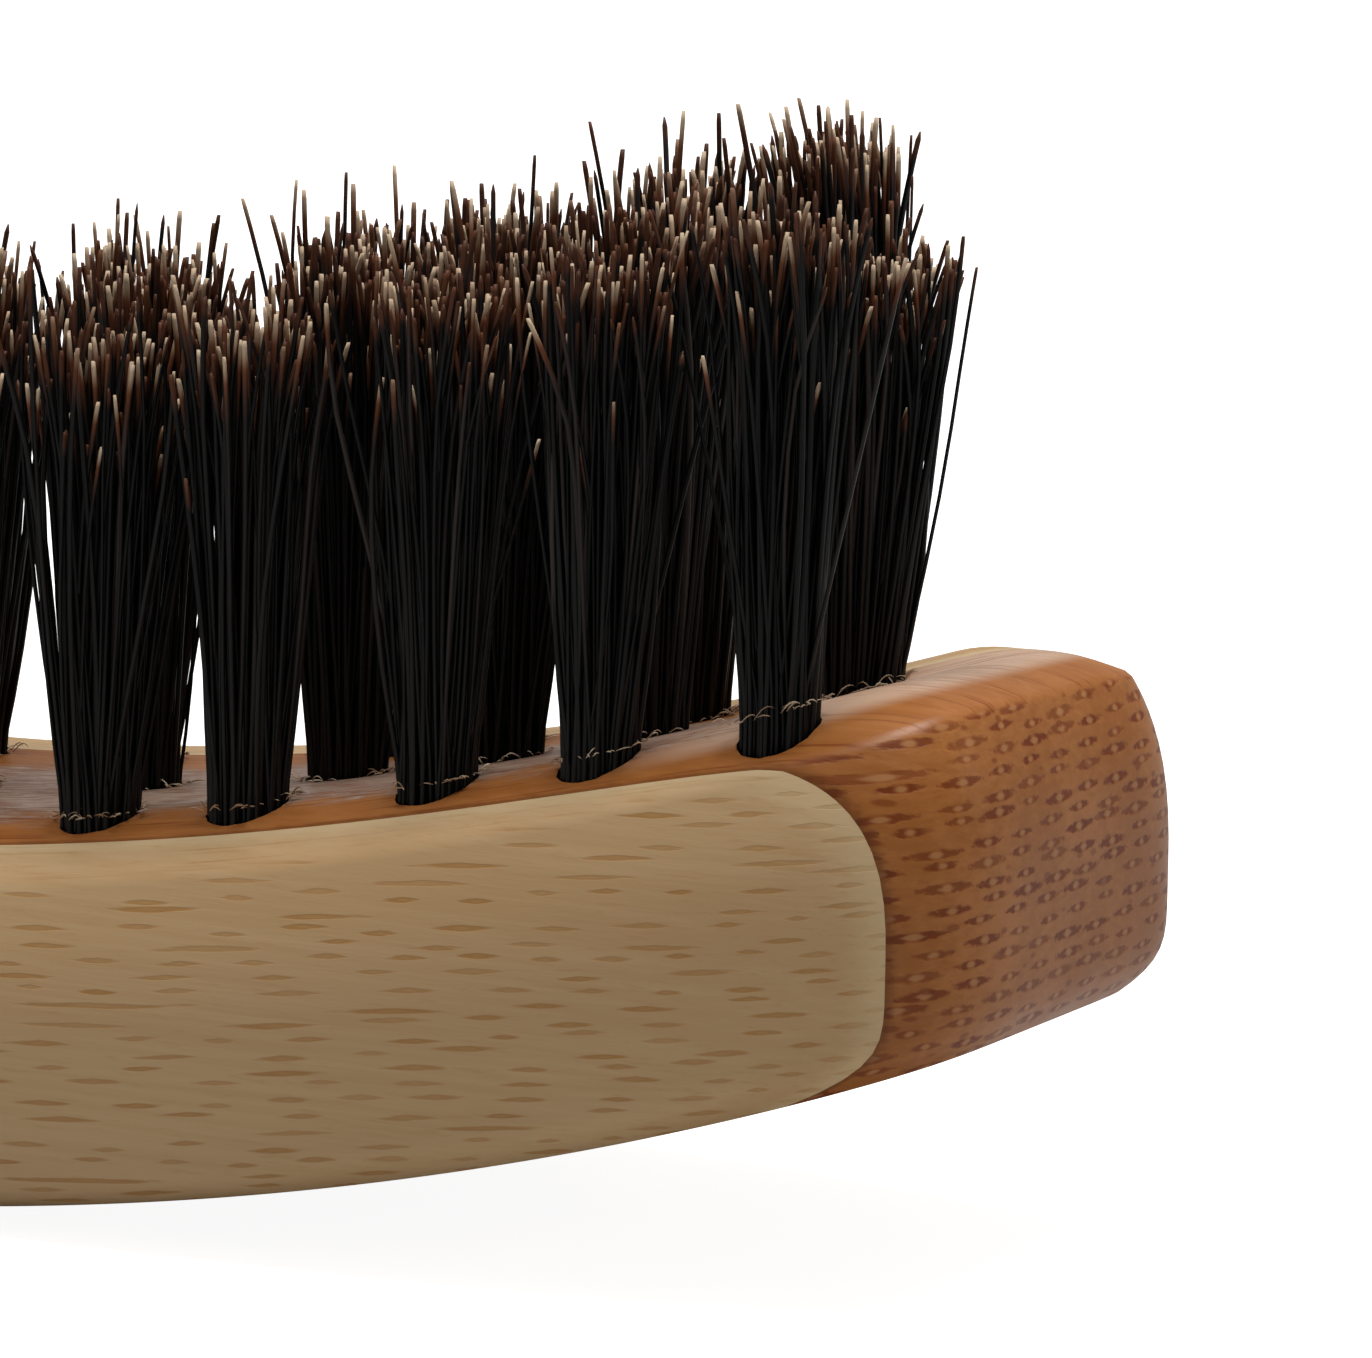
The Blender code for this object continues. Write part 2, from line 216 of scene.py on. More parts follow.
@dataclass(frozen=True)
class BambooFinish:
    """Laminated bamboo, planed, sanded and sealed with a thin satin lacquer.

    Bamboo has no rings. Its fibres run in separate bundles along the culm, so a face cut along
    them shows fine dashes, a slanting cut shows short leaf shapes, and the end grain shows small
    eyes. One field of bundles, drawn round the X axis in millimetres, gives all three. Each span
    below is the pair of millimetres over which a patch of the face fades: the grey between the
    tufts, or the painted sheen that pales the lit face near the ends.
    """

    name: str
    ground: str
    ground_light: str
    bundle: str
    bundle_heart: str
    across_mm: float
    upright_mm: float
    reach_across_mm: float
    reach_upright_mm: float
    bundle_strength: float
    heart_strength: float
    off_axis: float = 0.10
    slant: float = 0.2
    droop: float = 0.12
    pore_depth: float = 0.0
    dot_strength: float = 0.0
    joint_mm: float = 12.2
    joint: str = "#5a2c12"
    joint_width: float = 0.35
    joint_strength: float = 0.55
    stain: str = "#a3968c"
    stain_brown: str = "#6d4a38"
    soot: str = "#2b1d18"
    dust: str = "#b9aa9c"
    stain_strength: float = 0.0
    stain_depth: Span = (0.15, 0.7)
    stain_across: Span = (6.6, 9.8)
    stain_along: Span = (44.0, 53.5)
    stain_nearer: float = 1.5
    stain_ragged: float = 7.0
    # Painted sheen: the cream that pales the flat face near the ends in place of the top light, and how far
    # it reaches.
    painted_sheen: str = "#dcc8ae"
    painted_sheen_strength: float = 0.85
    painted_sheen_depth: Span = (0.45, 1.1)
    painted_sheen_along: Span = (43.0, 50.0)
    roughness: float = 0.40
    lacquer: float = 0.05

    def make(self) -> bpy.types.Material:
        """Build the material.

        Returns:
            The material, with its pattern scaled in real millimetres.
        """
        s = Shader(self.name)
        place = s.node(Do.PLACE).outputs["Object"]
        mm = s.node(Do.SCALE, place, 1 / MM)
        x, y, z = s.node(Do.SPLIT, mm).outputs
        fray = self.grain(s, mm, (0.45, 3.0, 5.0), 3.0, 0.6)
        normal = s.node(Do.SURFACE).outputs["Normal"]
        upward = s.node(Do.SPLIT, normal).outputs[2]
        flat_cut = s.node(Do.RISE, upward, 0.55, 0.85)
        off_flat = s.node(Do.LESS, 1.0, flat_cut)
        body, heart, strength = self.bundles(s, x, y, z, fray)
        # The face is planed along the fibre, so its bundles run out into long thin streaks.
        streaks = s.node(
            Do.TIMES, s.node(Do.RISE, self.grain(s, mm, (0.09, 4.2, 0.5), 3.0, 0.55), 0.54, 0.68), 0.7
        )
        body = s.node(Do.BLEND, flat_cut, body, streaks)
        heart = s.node(Do.TIMES, heart, off_flat)
        marked = s.node(
            Do.MIX,
            s.node(Do.TIMES, s.node(Do.TIMES, body, strength), self.bundle_strength),
            self.between(s, mm, fray),
            self.bundle,
        )
        marked = s.node(Do.MIX, s.node(Do.TIMES, heart, self.heart_strength), marked, self.bundle_heart)
        # Loose strands between the bundles, which the end grain shows as small dark dots.
        dot_place = s.node(Do.STRETCH, mm, scale=(0.13, 0.62, 1.15))
        dots = s.node(Do.DOTS, dot_place, 1.0, randomness=0.9)
        dotted = s.node(
            Do.TIMES, s.node(Do.FALL, dots, 0.12, 0.22), s.node(Do.TIMES, off_flat, self.dot_strength)
        )
        marked = s.node(Do.MIX, dotted, marked, self.bundle)
        # The glue line: a hair of resin, dark on the carbonised side and pale on the natural one.
        off_joint = s.node(Do.UNSIGNED, s.node(Do.LESS, s.node(Do.UNSIGNED, y), self.joint_mm))
        ragged = s.node(Do.ADD, off_joint, s.node(Do.TIMES, s.node(Do.LESS, fray, 0.5), 0.5))
        glue = s.node(Do.TIMES, s.node(Do.FALL, ragged, 0.02, self.joint_width), self.joint_strength)
        marked = s.node(Do.MIX, glue, marked, self.joint)
        # Grey the face between the tufts, then pale its flat top near the ends with painted sheen.
        if self.stain_strength:
            marked = self.stained(s, self.paint_sheen(s, marked, x, y, z, mm), x, y, z, mm)
        s.feed(s.principled, base_color=marked)
        self.lacquered(s, mm, body, fray)
        return s.material

    def grain(
        self, s: Shader, mm: Value, stretch: Point, detail: float, roughness: float = 0.5, turn: float = 0.0
    ) -> bpy.types.Node:
        """Draw soft noise stretched along the fibre.

        Args:
            s: the shader being built.
            mm: the place, in millimetres.
            stretch: how many of its cells fit in a millimetre along each axis.
            detail: how fine it goes.
            roughness: how strong its fine part is.
            turn: its angle about Z.

        Returns:
            The noise, about 0.5.
        """
        place = s.node(Do.STRETCH, mm, rotation=(0.0, 0.0, turn), scale=stretch)
        return s.node(Do.NOISE, place, 1.0, detail, roughness)

    def between(self, s: Shader, mm: Value, fray: Value) -> bpy.types.Node:
        """Colour the ground between the bundles: soft cells, streaked along the culm.

        Args:
            s: the shader being built.
            mm: the place, in millimetres.
            fray: fine noise that specks it.

        Returns:
            The colour.
        """
        streak = self.grain(s, mm, (0.05, 1.3, 2.6), 4.0, 0.62)
        broad = self.grain(s, mm, (0.025, 0.25, 0.14), 1.0)
        tone = s.node(Do.TIMES, s.node(Do.ADD, streak, broad), 0.5)
        ground = s.node(Do.MIX, s.node(Do.RISE, tone, 0.36, 0.64), self.ground, self.ground_light)
        return s.node(
            Do.MIX, s.node(Do.TIMES, s.node(Do.RISE, fray, 0.58, 0.72), 0.16), ground, self.bundle
        )

    def lacquered(self, s: Shader, mm: Value, body: Value, fray: Value) -> None:
        """Give the wood its satin lacquer, worn in soft patches and sunk over the open pores.

        Args:
            s: the shader being built.
            mm: the place, in millimetres.
            body: the share of bundle.
            fray: fine noise along the fibre.
        """
        worn = s.node(Do.NOISE, mm, 0.35, 3.0)
        rough = s.node(Do.ADD, s.node(Do.TIMES, worn, 0.16), self.roughness - 0.08)
        s.feed(s.principled, roughness=s.node(Do.ADD, rough, s.node(Do.TIMES, body, 0.06)))
        s.feed(s.principled, ior=1.5)
        s.feed(s.principled, specular_ior_level=0.2)
        s.feed(s.principled, coat_weight=self.lacquer)
        s.feed(s.principled, coat_roughness=0.28)
        relief = s.node(Do.ADD, s.node(Do.TIMES, body, -0.55), s.node(Do.TIMES, fray, 0.5))
        bump = s.node(Do.BUMP, strength=0.35, distance=0.06 * MM, height=relief)
        s.feed(s.principled, normal=bump)

    def bundles(self, s: Shader, x: Value, y: Value, z: Value, fray: Value) -> tuple[bpy.types.Node, ...]:
        """Lay out the bundles in rows, each row under a millimetre above the last.

        Args:
            s: the shader being built.
            x: place along the culm, in millimetres.
            y: place across it, in millimetres.
            z: height, in millimetres.
            fray: fine noise that breaks the bundles' outlines.

        Returns:
            The share of bundle, of its pale heart, and how strongly each bundle is coloured.
        """
        wave = s.node(Do.LINE_NOISE, s.node(Do.TIMES, x, 0.06), 1.0)
        # The culm was sawn a few degrees off the block's length.
        sawn = s.node(Do.LESS, z, s.node(Do.TIMES, x, self.off_axis))
        level = s.node(Do.TIMES, s.node(Do.ADD, sawn, s.node(Do.TIMES, wave, 0.7)), 1 / self.upright_mm)
        row = s.node(Do.FLOOR, level)
        # Each row drifts across the culm in its own way. The cut face crosses its bundles at a
        # slant, which is what makes short dashes out of endless lines.
        lot = s.node(Do.LINE_CHANCE, row)
        chances = s.node(Do.SPLIT_COLOUR, lot.outputs["Color"]).outputs
        slow = s.node(Do.JOIN, s.node(Do.TIMES, x, 0.055), s.node(Do.TIMES, row, 3.7))
        bend = s.node(Do.FLAT_NOISE, slow, 1.0, 0.0)
        drift = s.node(Do.TIMES, s.node(Do.LESS, bend, 0.5), 4.5)
        slant = s.node(Do.TIMES, x, s.node(Do.ADD, s.node(Do.TIMES, chances[0], 0.55), self.slant))
        at = s.node(Do.TIMES, s.node(Do.ADD, s.node(Do.ADD, y, drift), slant), 1 / self.across_mm)
        at = s.node(Do.ADD, at, s.node(Do.TIMES, chances[1], 7.0))
        cell = s.node(Do.FLOOR, at)
        spot = s.node(Do.JOIN, row, cell)
        own = s.node(Do.FLAT_CHANCE, spot)
        traits = s.node(Do.SPLIT_COLOUR, own.outputs["Color"]).outputs
        off_y = s.node(Do.TIMES, s.node(Do.LESS, s.node(Do.LESS, at, cell), 0.5), self.across_mm)
        off_z = s.node(Do.TIMES, s.node(Do.LESS, s.node(Do.LESS, level, row), 0.5), self.upright_mm)
        off_z = s.node(Do.ADD, off_z, s.node(Do.TIMES, s.node(Do.LESS, traits[0], 0.5), 0.40))
        side = s.node(Do.TIMES, off_y, 1 / self.reach_across_mm)
        out = s.node(Do.UNSIGNED, side)
        up = s.node(Do.TIMES, off_z, 1 / self.reach_upright_mm)
        # The two ends of a bundle droop a little.
        up = s.node(Do.ADD, up, s.node(Do.TIMES, s.node(Do.LESS, out, 0.35), self.droop))
        # Leaf-shaped: pointed where the cut leaves the bundle, and round across it.
        reach = s.node(Do.ADD, s.node(Do.TIMES, out, 0.85), s.node(Do.TIMES, up, up))
        size = s.node(Do.ADD, s.node(Do.TIMES, traits[1], 0.55), 0.7)
        reach = s.node(Do.OVER, reach, size)
        broken = s.node(Do.ADD, reach, s.node(Do.TIMES, s.node(Do.LESS, fray, 0.5), 1.6))
        # The fibre caps stand at the two ends of a bundle, and its pores lie open between them.
        caps = s.node(
            Do.ADD, s.node(Do.TIMES, s.node(Do.RISE, out, 0.08, 0.34), self.pore_depth), 1 - self.pore_depth
        )
        body = s.node(Do.TIMES, s.node(Do.FALL, broken, 0.6, 1.2), caps)
        heart = s.node(Do.FALL, s.node(Do.ADD, reach, s.node(Do.TIMES, fray, 0.4)), 0.36, 0.56)
        strength = s.node(Do.ADD, s.node(Do.TIMES, traits[2], 0.4), 0.6)
        return body, heart, strength

    def under_face(self, s: Shader, x: Value, y: Value, z: Value) -> bpy.types.Node:
        """How far a place lies under the hollow face.

        Args:
            s: the shader being built.
            x: place along the block, in millimetres.
            y: place across the block, in millimetres.
            z: height, in millimetres.

        Returns:
            The depth, in millimetres.
        """
        past = s.node(Do.MOST, s.node(Do.ADD, y, -FACE_FLAT_FROM / MM), 0.0)
        hollow = s.node(Do.TIMES, s.node(Do.TIMES, x, x), MM / (2 * FACE_RADIUS))
        face = s.node(
            Do.LESS, s.node(Do.ADD, hollow, BLOCK_THICKNESS / MM), s.node(Do.TIMES, past, FACE_FALL)
        )
        return s.node(Do.LESS, face, z)

    def paint_sheen(
        self, s: Shader, colour: Value, x: Value, y: Value, z: Value, mm: Value
    ) -> bpy.types.Node:
        """Paint sheen on the face past the last tufts: a pale cream that stands in for the strong light on
        the flat top, so it is paler than the walls.

        Args:
            s: the shader being built.
            colour: the wood's colour so far.
            x: place along the block, in millimetres.
            y: place across the block, in millimetres.
            z: height, in millimetres.
            mm: the whole place, in millimetres.

        Returns:
            The colour with the painted sheen and its fine brown streaks mixed in.
        """
        # Painted sheen: cream mixed into the face near the ends, where the top light falls on it.
        painted_sheen = s.node(
            Do.TIMES,
            s.node(Do.FALL, self.under_face(s, x, y, z), *self.painted_sheen_depth),
            s.node(Do.RISE, s.node(Do.UNSIGNED, x), *self.painted_sheen_along),
        )
        colour = s.node(Do.MIX, s.node(Do.TIMES, painted_sheen, self.painted_sheen_strength), colour, self.painted_sheen)
        brushed = self.grain(s, mm, (0.12, 3.2, 0.5), 4.0, 0.6)
        lines = s.node(Do.TIMES, s.node(Do.RISE, brushed, 0.5, 0.66), s.node(Do.TIMES, painted_sheen, 0.55))
        return s.node(Do.MIX, lines, colour, self.stain_brown)

    def stained(
        self, s: Shader, colour: Value, x: Value, y: Value, z: Value, mm: Value
    ) -> bpy.types.Node:
        """Grey the face between the tufts, with a ragged edge, brown scuffs and dark and pale specks.

        Args:
            s: the shader being built.
            colour: the wood's colour so far.
            x: place along the block, in millimetres.
            y: place across the block, in millimetres.
            z: height, in millimetres.
            mm: the whole place, in millimetres.

        Returns:
            The colour with the stain mixed in.
        """
        on_face = s.node(Do.FALL, self.under_face(s, x, y, z), *self.stain_depth)
        edge = s.node(
            Do.TIMES,
            s.node(Do.LESS, self.grain(s, mm, (0.22, 0.5, 0.5), 4.0, 0.65), 0.5),
            self.stain_ragged,
        )
        inside = s.node(
            Do.FALL,
            s.node(Do.ADD, s.node(Do.UNSIGNED, s.node(Do.ADD, y, self.stain_nearer)), edge),
            *self.stain_across,
        )
        middle = s.node(Do.FALL, s.node(Do.UNSIGNED, x), *self.stain_along)
        share = s.node(
            Do.TIMES, s.node(Do.TIMES, on_face, inside), s.node(Do.TIMES, middle, self.stain_strength)
        )
        scuff = self.grain(s, mm, (0.5, 3.5, 1.0), 5.0, 0.7, turn=0.5)
        smoked = s.node(Do.MIX, s.node(Do.RISE, scuff, 0.38, 0.62), self.stain, self.stain_brown)
        greyed = s.node(Do.MIX, share, colour, smoked)
        dust = self.grain(s, mm, (1.1, 2.6, 2.6), 5.0, 0.7)
        dark = s.node(Do.TIMES, s.node(Do.RISE, dust, 0.58, 0.68), s.node(Do.TIMES, share, 0.8))
        pale = s.node(Do.TIMES, s.node(Do.FALL, dust, 0.33, 0.43), s.node(Do.TIMES, share, 0.8))
        greyed = s.node(Do.MIX, dark, greyed, self.soot)
        return s.node(Do.MIX, pale, greyed, self.dust)


@dataclass(frozen=True)
class BristleFinish:
    """Boar bristle, washed and trimmed but not dyed.

    Keratin is a clear brown-black solid with a faint sheen, so a bundle reads as near black with
    thin grey lights along its strands. The trimmed flag ends have lost their pigment, and go from
    reddish brown to straw.
    """

    name: str = "boar_bristle_trimmed"
    root: str = "#060505"
    shaft: str = "#0c0a09"
    # Painted sheen: the lighter grey given to a few strands in place of the light on them.
    painted_sheen_grey: str = "#39312e"
    brown: str = "#4a2a1a"
    red: str = "#7a4526"
    straw: str = "#cdb497"

    def make(self) -> bpy.types.Material:
        """Build the material from two numbers on the mesh: place along a strand, and its lot.

        Returns:
            The material.
        """
        s = Shader(self.name)
        along = s.node(Do.ALONG).outputs["Fac"]
        lot = s.node(Do.LOT).outputs["Fac"]
        place = s.node(Do.PLACE).outputs["Object"]
        stretch = s.node(Do.STRETCH, place, scale=(2600.0, 2600.0, 320.0))
        grain = s.node(Do.NOISE, stretch, 1.0, 2.0)
        shaft = s.node(Do.MIX, s.node(Do.RISE, grain, 0.35, 0.7), self.root, self.shaft)
        # Painted sheen: a few strands in each tuft are made a lighter grey all along, standing in for the
        # light that catches them.
        other = s.node(Do.FRACTION, s.node(Do.TIMES, lot, 7.31))
        shaft = s.node(
            Do.MIX,
            s.node(Do.TIMES, s.node(Do.RISE, other, 0.72, 1.0), s.node(Do.RISE, along, 0.1, 0.5)),
            shaft,
            self.painted_sheen_grey,
        )
        # Each strand loses its pigment over its own last stretch, 3 to 19 % of its length.
        start = s.node(Do.ADD, s.node(Do.TIMES, lot, -0.16), 0.97)
        fade = s.node(Do.OVER_HELD, s.node(Do.LESS, along, start), s.node(Do.LESS, 1.0, start))
        browned = s.node(Do.MIX, s.node(Do.RISE, fade, 0.0, 0.55), shaft, self.brown)
        lively = s.node(Do.RISE, lot, 0.30, 0.85)
        reddened = s.node(
            Do.MIX, s.node(Do.TIMES, s.node(Do.RISE, fade, 0.35, 0.85), lively), browned, self.red
        )
        tip = s.node(Do.TIMES, s.node(Do.RISE, fade, 0.62, 0.95), s.node(Do.RISE, lot, 0.52, 0.76))
        s.feed(s.principled, base_color=s.node(Do.MIX, tip, reddened, self.straw))
        s.feed(s.principled, roughness=s.node(Do.ADD, s.node(Do.TIMES, grain, 0.25), 0.36))
        s.feed(s.principled, ior=1.54)
        s.feed(s.principled, specular_ior_level=0.2)
        bump = s.node(Do.BUMP, strength=0.25, distance=0.02 * MM, height=grain)
        s.feed(s.principled, normal=bump)
        return s.material


@dataclass(frozen=True)
class StapleFinish:
    """Mild-steel flat wire, drawn and cut: grey, with fine draw lines along it and dull ends."""

    name: str = "staple_steel_drawn"
    bright: str = "#a8a49c"
    dull: str = "#7b766d"

    def make(self) -> bpy.types.Material:
        """Build the material.

        Returns:
            The material.
        """
        s = Shader(self.name)
        place = s.node(Do.PLACE).outputs["Object"]
        lines = s.node(Do.STRETCH, place, scale=(14000.0, 300.0, 14000.0))
        drawn = s.node(Do.NOISE, lines, 1.0, 3.0)
        s.feed(s.principled, base_color=s.node(Do.MIX, drawn, self.dull, self.bright))
        s.feed(s.principled, metallic=1.0)
        s.feed(s.principled, roughness=s.node(Do.ADD, s.node(Do.TIMES, drawn, 0.25), 0.25))
        bump = s.node(Do.BUMP, strength=0.2, distance=0.01 * MM, height=drawn)
        s.feed(s.principled, normal=bump)
        return s.material


@dataclass(frozen=True)
class FloorFinish:
    """Opal acrylic, cast: a white table with a faint mottle and almost no shadow.

    Its glow is for the camera alone, so it whitens the table and adds no light to the brush.
    """

    name: str = "table_acrylic_opal"
    white: str = "#bdbcba"
    shade: str = "#b9b8b6"
    glow: float = 0.93

    def make(self) -> bpy.types.Material:
        """Build the material.

        Returns:
            The material.
        """
        s = Shader(self.name)
        place = s.node(Do.PLACE).outputs["Object"]
        mottle = s.node(Do.NOISE, place, 60.0, 2.0)
        s.feed(s.principled, base_color=s.node(Do.MIX, mottle, self.white, self.shade))
        s.feed(s.principled, roughness=0.8)
        s.feed(s.principled, specular_ior_level=0.1)
        s.feed(s.principled, emission_color="#ffffff")
        seen = s.node(Do.RAY).outputs["Is Camera Ray"]
        s.feed(s.principled, emission_strength=s.node(Do.TIMES, seen, self.glow))
        return s.material


# ---------------------------------------------------------------------------------------------
# Block
# ---------------------------------------------------------------------------------------------


def settle(piece: bpy.types.Object, slot: str, *nodes: str) -> None:
    """Tie a finished piece to the frame.

    Args:
        piece: the piece.
        slot: the name of a material slot; not used.
        nodes: the CAD nodes that it stands for.
    """
    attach(piece, BODY)
    if nodes:
        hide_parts(*nodes)


def place_mesh(name: str, mesh: bpy.types.Mesh, material: bpy.types.Material) -> bpy.types.Object:
    """Put a mesh in the scene as an object.

    Args:
        name: the object's name.
        mesh: its mesh.
        material: its only material.

    Returns:
        The object.
    """
    piece = bpy.data.objects.new(name, mesh)
    bpy.context.scene.collection.objects.link(piece)
    mesh.materials.clear()
    mesh.materials.append(material)
    return piece


def soft_step(share: float) -> float:
    """Go softly from 0 to 1 as share does."""
    share = min(1.0, max(0.0, share))
    return share * share * (3 - 2 * share)


@dataclass(frozen=True)
class BlockShape:
    """The sanded form that all three lamellas share, seen from above and from the side."""

    length: float
    width: float
    length_power: float = 4.3
    width_power: float = 6.0
    outline_points: int = 241
    corner_weight: float = 9.0 * MM
    thickness: float = BLOCK_THICKNESS
    face_radius: float = FACE_RADIUS
    back_radius: float = 167.0 * MM
    resting_flat: float = 18.0 * MM
    roll_width: float = 5.9 * MM
    roll_drop: float = 2.1 * MM
    inset_face: float = 1.75 * MM
    inset_back: float = 1.6 * MM
    widest: float = 0.36
    face_fall: float = FACE_FALL
    roll_fade: float = 8.0 * MM
    far_share: float = 0.35
    corner_start: float = 48.0 * MM
    corner_width: float = 9.0 * MM
    lip: float = 1.3 * MM
    lip_start: float = 9.0 * MM
    lip_width: float = 6.0 * MM
    face_cuts: int = 44
    face_power: float = 2.5
    back_power: float = 6.5
    wall_levels: tuple[float, ...] = (
        0.0, 0.008, 0.02, 0.04, 0.065, 0.095, 0.13, 0.175, 0.22, 0.28, 0.36, 0.44, 0.52, 0.6,
        0.68, 0.75, 0.81, 0.86, 0.9, 0.93, 0.955, 0.972, 0.986,
    )
    roll_levels: tuple[float, ...] = (0.03, 0.06, 0.11, 0.18, 0.27, 0.37, 0.48, 0.6, 0.72, 0.86, 1.0)

    def face_height(self, x: float, y: float) -> float:
        """Height of the hollow face at x, y."""
        fall = self.face_fall * max(0.0, y + self.width / 2 - self.inset_face - self.roll_width)
        lip = self.lip * (2 * x / self.length) ** 2 * soft_step((y - self.lip_start) / self.lip_width)
        return self.thickness + x * x / (2 * self.face_radius) - fall + lip

    def crease_drop(self, x: float, y: float) -> float:
        """How far the crease lies under the face at x, y."""
        corner = soft_step((abs(x) - self.corner_start) / self.corner_width)
        return self.roll_drop * (1 - soft_step(y / self.roll_fade) * (1 - corner))

    def back_height(self, x: float) -> float:
        """Height of the crowned back at x."""
        return max(0.0, (x * x - (self.resting_flat / 2) ** 2) / (2 * self.back_radius))

    def wall_inset(self, level: float) -> float:
        """How far the side wall is drawn in at a level from 0 at the back to 1 at the crease."""
        if level > self.widest:
            return self.inset_face * ((level - self.widest) / (1 - self.widest)) ** self.face_power
        return self.inset_back * (1 - level / self.widest) ** self.back_power

    def half_outline(self) -> list[Span]:
        """Draw the near half of the plan outline.

        Returns:
            Points as shares of half the length and half the width, closest where it turns.
        """
        steps = 4000
        dense = []
        for step in range(steps + 1):
            angle = math.pi * step / steps
            along = math.copysign(abs(math.cos(angle)) ** (2 / self.length_power), -math.cos(angle))
            across = -(math.sin(angle) ** (2 / self.width_power)) if 0 < step < steps else 0.0
            dense.append((along, across))
        measure = [0.0]
        heading = None
        for (x0, y0), (x1, y1) in zip(dense, dense[1:]):
            dx, dy = (x1 - x0) * self.length / 2, (y1 - y0) * self.width / 2
            turned = math.atan2(dy, dx)
            bend = 0.0 if heading is None else abs(turned - heading)
            heading = turned
            measure.append(measure[-1] + math.hypot(dx, dy) + self.corner_weight * bend)
        points = []
        index = 0
        for count in range(self.outline_points):
            wanted = measure[-1] * count / (self.outline_points - 1)
            while index < steps and measure[index] < wanted:
                index += 1
            points.append(dense[index])
        middle = self.outline_points // 2
        for count in range(middle):
            points[-1 - count] = (-points[count][0], points[count][1])
        points[middle] = (0.0, -1.0)
        return points

    def ring(
        self, mesh: bmesh.types.BMesh, half: list[Span], inset: float, far_inset: float, height_at: HeightAt
    ) -> list[bmesh.types.BMVert]:
        """Add one level of the block.

        Args:
            mesh: the mesh being built.
            half: the half outline.
            inset: how far the near side and the ends are drawn in.
            far_inset: how far the far side is drawn in.
            height_at: the height for each x and y.

        Returns:
            The new vertices, in order round the block.
        """
        a, near_b, far_b = self.length / 2 - inset, self.width / 2 - inset, self.width / 2 - far_inset
        near = [(along * a, across * near_b) for along, across in half]
        far = [(along * a, -across * far_b) for along, across in reversed(half[1:-1])]
        return [mesh.verts.new((x, y, height_at(x, y))) for x, y in near + far]

    def heights(self) -> list[tuple[float, float, HeightAt]]:
        """List the levels from the back up over the crease to the face.

        Returns:
            The two insets of each level, and its height as a function of x and y.
        """

        def wall(level: float) -> HeightAt:
            """The height of a level of the wall."""

            def at(x: float, y: float) -> float:
                """Its height at x, y."""
                back = self.back_height(x)
                return back + level * (self.face_height(x, y) - self.crease_drop(x, y) - back)

            return at

        def roll(level: float) -> HeightAt:
            """The height of a level of the rolled edge."""
            return lambda x, y: self.face_height(x, y) - self.crease_drop(x, y) * (1 - level) ** 2

        levels = []
        for level in self.wall_levels:
            inset = self.wall_inset(level)
            levels.append((inset, inset * (self.far_share if level > self.widest else 1.0), wall(level)))
        for level in self.roll_levels:
            inset = self.inset_face + level * self.roll_width
            levels.append((inset, inset * self.far_share, roll(level)))
        return levels

    def close(self, mesh: bmesh.types.BMesh, ring: list[bmesh.types.BMVert], upward: bool, cuts: int) -> None:
        """Close the back or the face with a grid that follows its curve.

        Args:
            mesh: the mesh being built.
            ring: the level to close.
            upward: whether it is the face.
            cuts: how many strips it has from side to side.
        """
        last = self.outline_points - 1
        columns = [[ring[0]] * (cuts + 1)]
        for i in range(1, last):
            near, far = ring[i], ring[-i]
            column = [near]
            for cut in range(1, cuts):
                x, y = near.co.x, near.co.y + (far.co.y - near.co.y) * cut / cuts
                column.append(mesh.verts.new((x, y, self.face_height(x, y))))
            columns.append(column + [far])
        columns.append([ring[last]] * (cuts + 1))
        for before, after in zip(columns, columns[1:]):
            for row in range(cuts):
                corners = list(dict.fromkeys([before[row], after[row], after[row + 1], before[row + 1]]))
                mesh.faces.new(corners if upward else corners[::-1]).smooth = upward

    def solid(self) -> bmesh.types.BMesh:
        """Build the whole block.

        Returns:
            A closed mesh, smooth but for its back, which curves one way only.
        """
        mesh = bmesh.new()
        half = self.half_outline()
        rings = [self.ring(mesh, half, inset, far_inset, at) for inset, far_inset, at in self.heights()]
        count = len(rings[0])
        for lower, upper in zip(rings, rings[1:]):
            for i in range(count):
                j = (i + 1) % count
                mesh.faces.new((lower[i], lower[j], upper[j], upper[i])).smooth = True
        self.close(mesh, rings[0], False, 1)
        self.close(mesh, rings[-1], True, self.face_cuts)
        return mesh


@dataclass
class Lamella:
    """One glued layer of the block."""

    node: str
    side: Side
    slot: str
    shape: BlockShape
    joint: float
    material: bpy.types.Material

    def mesh(self) -> bpy.types.Mesh:
        """Slice the block at the glue lines.

        Returns:
            The lamella as a closed mesh.
        """
        block = self.shape.solid()
        cuts = []
        if self.side is not Side.FAR:
            cuts.append((self.joint if self.side is Side.CORE else -self.joint, 1))
        if self.side is not Side.NEAR:
            cuts.append((-self.joint if self.side is Side.CORE else self.joint, -1))
        for y, beyond in cuts:
            geometry = block.verts[:] + block.edges[:] + block.faces[:]
            cut = bmesh.ops.bisect_plane(
                block, geom=geometry, plane_co=(0, y, 0), plane_no=(0, beyond, 0), clear_outer=True, dist=1e-9
            )
            rim = [e for e in cut["geom_cut"] if isinstance(e, bmesh.types.BMEdge)]
            bmesh.ops.contextual_create(block, geom=rim)
        data = bpy.data.meshes.new(self.node)
        block.normal_update()
        bmesh.ops.recalc_face_normals(block, faces=block.faces[:])
        block.to_mesh(data)
        block.free()
        data.set_sharp_from_angle(angle=math.radians(50))
        return data

    def build(self) -> bpy.types.Object:
        """Make the lamella and tie it to its CAD node.

        Returns:
            The piece.
        """
        piece = place_mesh(f"{self.node}_wood", self.mesh(), self.material)
        settle(piece, self.slot, self.node)
        return piece


